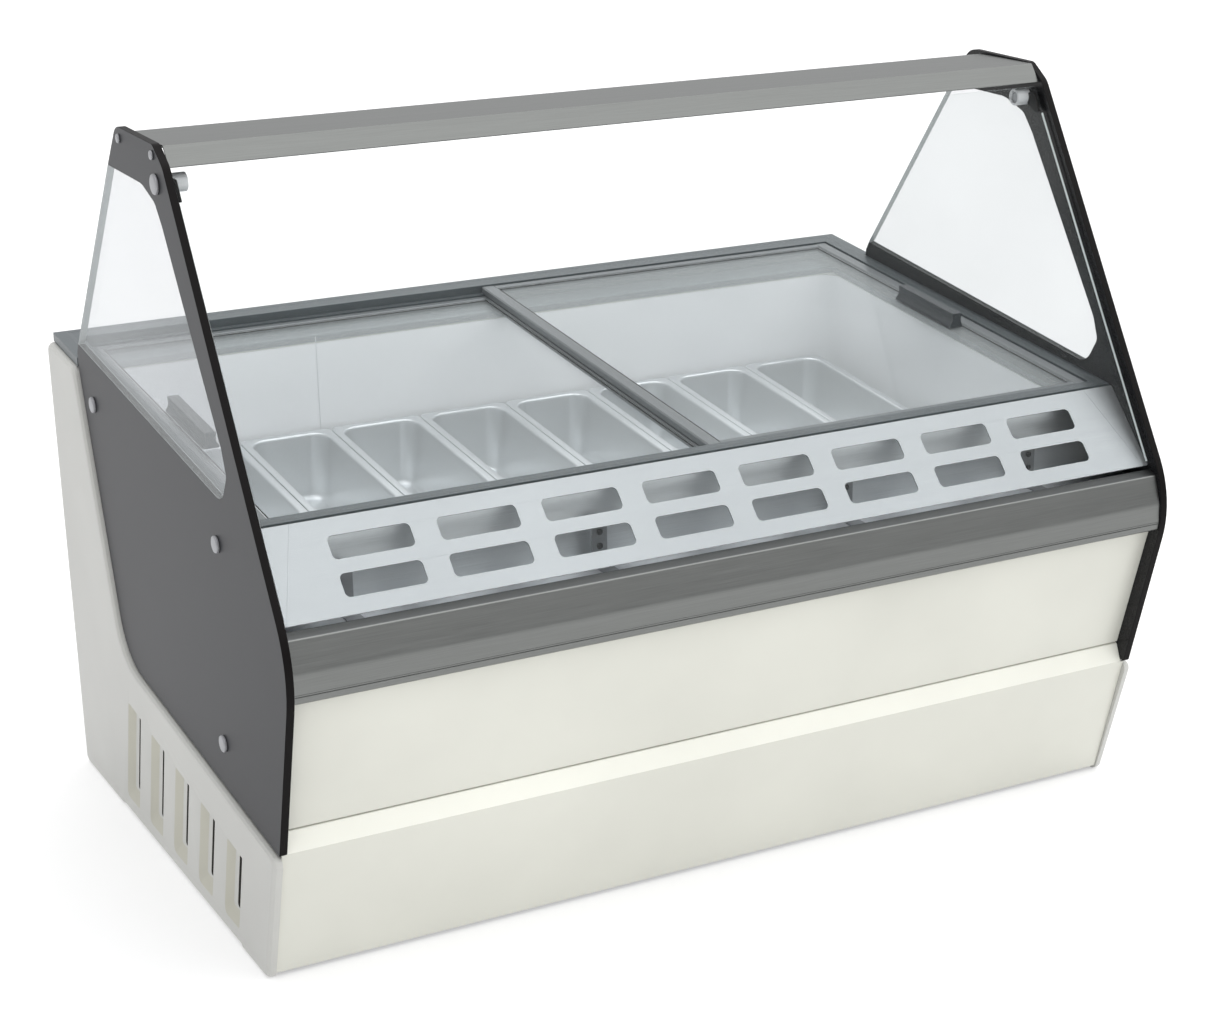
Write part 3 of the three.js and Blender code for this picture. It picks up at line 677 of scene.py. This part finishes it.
# ---- top bar and front glass ----
def build_front_glass():
    bar = [(221, 1168), (243, 1195.6, 3), (394, 1192.6, 3), (394, 1163.5)]
    sheet_piece("top_bar_cover", bar, 2.4, dark_steel, "top_bar", edge=0.4)
    half = GLASS_IN - 5.3
    low_z, high_z = 592.3, 1159.5

    def pane_view(x, z, w):
        v = 228 - (1161 - z) * RAKE
        out = Vector((1, -RAKE)).normalized() * w
        return at(x, v + out.x, z + out.y)

    pane = rectangle(-half, half, low_z, high_z, 4, 4)
    piece("front_glass_pane", slab([pane], -2.9, 2.9, pane_view), front_clear, ["front_glass"],
          edge=0.7, segments=2)
    ends = []
    for sign in (1, -1):
        span = sorted((sign * (half + 0.1), sign * (half + 0.5)))
        strip = rectangle(*span, low_z + 6, high_z - 40)
        ends.append(slab([strip], -2.4, 2.4, pane_view))
    piece("front_glass_polished_ends", joined(*ends), polished_edge, body="front_glass_assembly", edge=0,
          slot="clear_glass")
    for end, sign in (("right", 1), ("left", -1)):
        build_hinge_arm(end, sign)
        pin = [(721, 0), (721, 6.5), (721.4, 8), (722.4, 8), (722.5, 5), (761.8, 5), (761.9, 14.2),
               (762.6, 15), (764.8, 15), (766.3, 14), (767, 12.2), (767, 0)]
        sided = [(sign * along, radius) for along, radius in pin]
        piece(f"pivot_pin_{end}_cap", turned(sided, PIVOT, "x"), nickel, [f"pivot_pin_{end}"], edge=0)


def build_hinge_arm(end, sign):
    """A white cup round the pin's head, on a slim dark plate bonded to the back of the glass."""
    cup = [(722.9, 8.6), (722.9, 9.2), (718.8, 9.6), (718.3, 10.2), (718.3, 13.2), (719.0, 13.9),
           (743.2, 13.9), (744.1, 13.2), (744.1, 8.6)]
    points, faces = turned([(sign * along, radius) for along, radius in cup], PIVOT, "x")
    piece(f"hinge_arm_{end}_cup", (points, faces[:-2]), boss_white, [f"hinge_arm_{end}"], edge=0)
    plate = [(236, 1150, 4), (221.5, 1149.5, 2), (204, 1121, 2), (212, 1119, 3), (238, 1130, 4)]
    span = sorted((sign * 739, sign * 743.6))
    piece(f"hinge_arm_{end}_plate", slab([rounded(plate, 5)], *span, side_view), edge_black,
          body="front_glass_assembly", edge=0.3, slot="frame_grey")


# ---- tub, rack and pans ----
def build_tub():
    dull = frame["nodes"]["insulated_tub"]
    dull.data.materials.clear()
    dull.data.materials.append(foam_body)
    build_liner()
    refined("pan_rack", pale_steel, 1.5)
    # the sheet joint in the liner's rear wall
    seam = slab([rectangle(-341, -340, 380, 742)], 787.3, 788.05, rear_view)
    piece("liner_wall_joint", seam, duct_steel, body="cabinet", edge=0.1, segments=1, slot="liner_white")


def build_liner():
    """A thin basin with a rolled rim just under the sloping deck."""
    def ring(grow, height):
        loop = []
        for x, v in rectangle(-LINER - grow, LINER + grow, 38 - grow, 788 + grow, 34 + grow, 10):
            z = height if height is not None else DECK_Z + DECK_SLOPE * v - 42
            loop.append(at(x, v, z))
        return loop
    loops = [ring(-6, 370.2), ring(1.2, 371.5), ring(1.8, 378), ring(1.8, None), ring(0.2, None),
             ring(0, 392), ring(-3, 379), ring(-10, 373.2), ring(-22, 372.1)]
    piece("tub_liner_basin", loft(loops), liner_white, ["tub_liner"], edge=0)


def pan_loop(width, length, radius, above, middle):
    return [on_deck(middle[0] + a, middle[1] + b, above - PAN_RIM_DROP)
            for a, b in rectangle(-width / 2, width / 2, -length / 2, length / 2, radius, 8)]


def build_pans():
    width, length = PAN_PITCH - 1.7, PAN_LENGTH - 1.4
    # (width, length, corner radius, height) from the foot outside, over the rim, to the floor inside
    rings = [
        (106, 302, 14, -119.6), (118, 314, 20, -118.4), (124, 320, 24, -113), (126.5, 322.5, 25, -104),
        (138.5, 334.5, 30, -5), (140, 336, 30.5, -2.6), (width, length, 14, -3.4),
        (width, length, 14, -1.6),
        (width - 1.4, length - 1.4, 13.4, -0.5), (width - 4, length - 4, 12.5, -0.2),
        (143, 339, 31, -0.3), (138.5, 334.5, 30, -1.2), (136.2, 332.2, 29, -4), (134.8, 330.8, 28.5, -10),
        (124, 320, 24, -98), (121, 317, 22, -109), (114, 310, 18, -115.6), (100, 296, 12, -117.4),
    ]
    for row, start in PAN_ROWS.items():
        for i in range(8):
            middle = ((i - 3.5) * PAN_PITCH, start + PAN_LENGTH / 2)
            loops = [pan_loop(*ring, middle) for ring in rings]
            node = f"pan_{row}_{i + 1}"
            piece(f"{node}_tub", loft(loops), pan_steel, [node], edge=0)


# ---- deck and lids ----
def build_deck():
    refined("deck_frame", frame_grey, 1.2, 3)
    lines = []
    for inset in (7, 11):
        outer = rectangle(-748 + inset, 748 - inset, -8 + inset, 892 - inset, 2, 2)
        inner = rectangle(-747 + inset, 747 - inset, -7 + inset, 891 - inset, 2, 2)
        lines.append(slab([outer, inner[::-1]], -0.2, 0.25, deck_view))
    piece("deck_frame_ribs", joined(*lines), lid_grey, body="cabinet", edge=0.1, segments=1,
          slot="frame_grey")


def bar_section(low, high, foot, shoulder, crest, chamfer):
    """The section of a lid bar: upright sides to the shoulder, chamfered up to the crest."""
    return rounded([
        (low, foot, 1), (high, foot, 1), (high, shoulder, 1),
        (high - chamfer, crest, 1), (low + chamfer, crest, 1), (low, shoulder, 1),
    ], 3)


def build_lid(side, x0, x1, inset, top):
    frame_node, glass_node, handle_node = (f"lid_{part}_{side}" for part in ("frame", "glass", "handle"))
    y0, y1 = 14 + inset, 854 - inset
    foot = top - 11.8
    end, runner = 24, 14
    bars = []
    for a0, a1 in ((x0, x0 + end), (x1 - end, x1)):
        section = bar_section(a0, a1, foot, top - 2.2, top - 0.2, 2.5)
        bars.append(slab([section], y0 + 0.1, y1 - 0.1, lambda a, h, y: on_deck(a, y, h)))
    for b0, b1 in ((y0, y0 + runner), (y1 - runner, y1)):
        section = bar_section(b0, b1, foot, top - 2, top - 0.4, 2)
        bars.append(slab([section], x0 + end - 1, x1 - end + 1, lambda y, h, a: on_deck(a, y, h)))
    piece(f"{frame_node}_bars", joined(*bars), lid_grey, [frame_node], edge=0.4, segments=2)
    gap = 0.2
    pane = rectangle(x0 + end + gap, x1 - end - gap, y0 + runner + gap, y1 - runner - gap, 2, 3)
    piece(f"{glass_node}_pane", slab([pane], top - 8, top - 4, deck_view), lid_clear, [glass_node],
          edge=0.4, segments=2)
    for trim, inner, outer, finish in (("trim", 0.1, 1.5, trim_steel), ("gasket", 1.5, 4.0, rubber)):
        rings = []
        for step in (inner, outer):
            rings.append(rectangle(x0 + end + step, x1 - end - step,
                                   y0 + runner + step, y1 - runner - step))
        piece(f"{glass_node}_{trim}", slab([rings[0], rings[1][::-1]], top - 3.9, top - 3.0, deck_view),
              finish, body=BODY[frame_node], edge=0.15, segments=1, slot="handle_grey")
    refined(handle_node, handle_plastic, 1.2, 3)


# ---- back ----
def build_back():
    refined("rear_cover", cream_enamel, 1.2)
    refined("rear_grille", dark_steel, 0.4)
    refined("controller", black_plastic, 1.5, 3)
    refined("main_switch", black_plastic, 0.8, 3)
    window = rectangle(535, 577, 633, 652, 2.5, 4)
    piece("controller_window", slab([window], 905.0, 905.6, rear_view), screen, body="cabinet", edge=0.3,
          slot="black_plastic")
    keys, marks = [], []
    for i in range(4):
        x = 528 + i * 16
        keys.append(slab([rectangle(x, x + 11, 623.5, 629, 1.5, 4)], 904.8, 905.9, rear_view))
    for i in range(3):
        z = 647 - i * 5
        marks.append(slab([rectangle(582, 585, z, z + 2, 0.9, 4)], 904.8, 905.5, rear_view))
    piece("controller_keys", joined(*keys), lid_grey, body="cabinet", edge=0.3, slot="handle_grey")
    piece("controller_marks", joined(*marks), lit_mark, body="cabinet", edge=0.1, slot="black_plastic")
    head = [(903.9, 0), (903.9, 5.4), (905.0, 5.2), (905.8, 3.8), (906.1, 0)]
    screws = [turned(head, (x, z), "y", 24) for x in (-735, -370, 0, 370, 735) for z in (315, 690)]
    piece("rear_cover_screws", joined(*screws), nickel, body="cabinet", edge=0, slot="bright_fixing")


# ---- machinery ----
def build_machine():
    low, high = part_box("compressor")
    x, v = (low[0] + high[0]) / 2 / MM, ((low[1] + high[1]) / 2 - FOOT_LINE) / MM
    floor = low[2] / MM
    profile = [(0, 0), (0, 60), (6, 64), (8, 82), (38, 91), (44, 91.6), (106, 91.6), (112, 91),
               (134, 85), (150, 76), (163, 58), (171, 34), (175, 10), (175.5, 0)]
    piece("compressor_pot", turned([(floor + h, r) for h, r in profile], (x, v), "z", 64),
          black_enamel, ["compressor"], edge=0)
    refined("condenser", galvanised, 0.4)
    refined("fan_shroud", black_plastic, 1.5)
    refined("fan_blade", black_plastic, 0.5)
    coils = []
    for i in range(6):
        z = 90 + i * 33
        section = arc((0, 0), 4.5, 0, 330, 11)
        loops = []
        for k in range(13):
            angle = math.radians(-90 + 15 * k)
            centre_v, centre_z = 600 + 12 * math.cos(angle), z + 8 * math.sin(angle)
            loops.append([at(-615 + a, centre_v + b * math.cos(angle), centre_z + b * math.sin(angle))
                          for a, b in section])
        coils.append(loft(loops))
    piece("condenser_return_bends", joined(*coils), copper, body="cabinet", edge=0, slot="galvanised")


def let_light_through():
    """Clear panes cast no shadow of their own, so the tub is lit through two lids as through one."""
    for thing in bpy.context.scene.objects:
        if thing.name.endswith(("_pane", "_window")) and "glass" in thing.name:
            thing.visible_shadow = False


build_base()
build_front()
build_end_panels()
build_end_glass()
build_front_glass()
build_tub()
build_pans()
build_deck()
build_lid("right", 0.5, 722, 1.5, -2)
build_lid("left", -722, 24, 10.5, -16.2)
build_back()
build_machine()
let_light_through()


# ---- floor, light and camera ----
def studio_sky():
    """A soft white dome, brightest overhead and behind and a little brighter to the right."""
    world = bpy.data.worlds.new("studio")
    world.use_nodes = True
    tree = world.node_tree
    background = tree.nodes["Background"]
    coordinates = tree.nodes.new("ShaderNodeTexCoord")
    split = tree.nodes.new("ShaderNodeSeparateXYZ")
    tree.links.new(coordinates.outputs["Generated"], split.inputs["Vector"])
    total = None
    for axis, weight in (("Z", SKY["overhead"]), ("X", SKY["right"]), ("Y", SKY["behind"])):
        term = tree.nodes.new("ShaderNodeMath")
        term.operation = "MULTIPLY_ADD"
        term.inputs[1].default_value = weight
        term.inputs[2].default_value = SKY["level"]
        tree.links.new(split.outputs[axis], term.inputs[0])
        if total is not None:
            tree.links.new(total, term.inputs[2])
        total = term.outputs[0]
    tree.links.new(total, background.inputs["Strength"])
    background.inputs["Color"].default_value = (0.985, 0.99, 1.0, 1)
    return world


def floor_paint():
    """White studio floor that glows a little, so the contact shadow stays faint."""
    paint = surface("floor_paint", (0.60, 0.60, 0.60), (0.8, 0.9), 40, (0.02, 0.001), vary=0.005)
    shader = paint.node_tree.nodes["Principled BSDF"]
    shader.inputs["Emission Color"].default_value = (1, 1, 1, 1)
    shader.inputs["Emission Strength"].default_value = 0.42
    return paint


def build_studio():
    mesh = bpy.data.meshes.new("floor")
    reach = 60
    mesh.from_pydata([(-reach, -reach, 0), (reach, -reach, 0), (reach, reach, 0), (-reach, reach, 0)], [],
                     [(0, 1, 2, 3)])
    floor = bpy.data.objects.new("floor", mesh)
    bpy.context.scene.collection.objects.link(floor)
    mesh.materials.append(floor_paint())

    bpy.context.scene.world = studio_sky()

    for name, direction, strength, spread in (
        ("key", (-0.22, 0.36, -0.88), 2.25, 85),
        ("back", (-0.30, -0.45, -0.85), 0.35, 70),
    ):
        lamp = bpy.data.lights.new(name, "SUN")
        lamp.energy = strength
        lamp.angle = math.radians(spread)
        light = bpy.data.objects.new(name, lamp)
        light.rotation_euler = Vector(direction).to_track_quat("-Z", "Y").to_euler()
        bpy.context.scene.collection.objects.link(light)


def build_camera():
    data = bpy.data.cameras.new("camera")
    data.lens = 76.05
    data.sensor_width = 36
    data.shift_x = -0.1096
    data.shift_y = 0.0703
    data.clip_end = 200
    camera = bpy.data.objects.new("camera", data)
    camera.location = at(-1833.2, -3280.2, 1860.2)
    camera.rotation_euler = (math.radians(69.502), 0, math.radians(-29.813))
    bpy.context.scene.collection.objects.link(camera)
    bpy.context.scene.camera = camera


build_studio()
build_camera()
bpy.context.scene.view_settings.view_transform = "Standard"
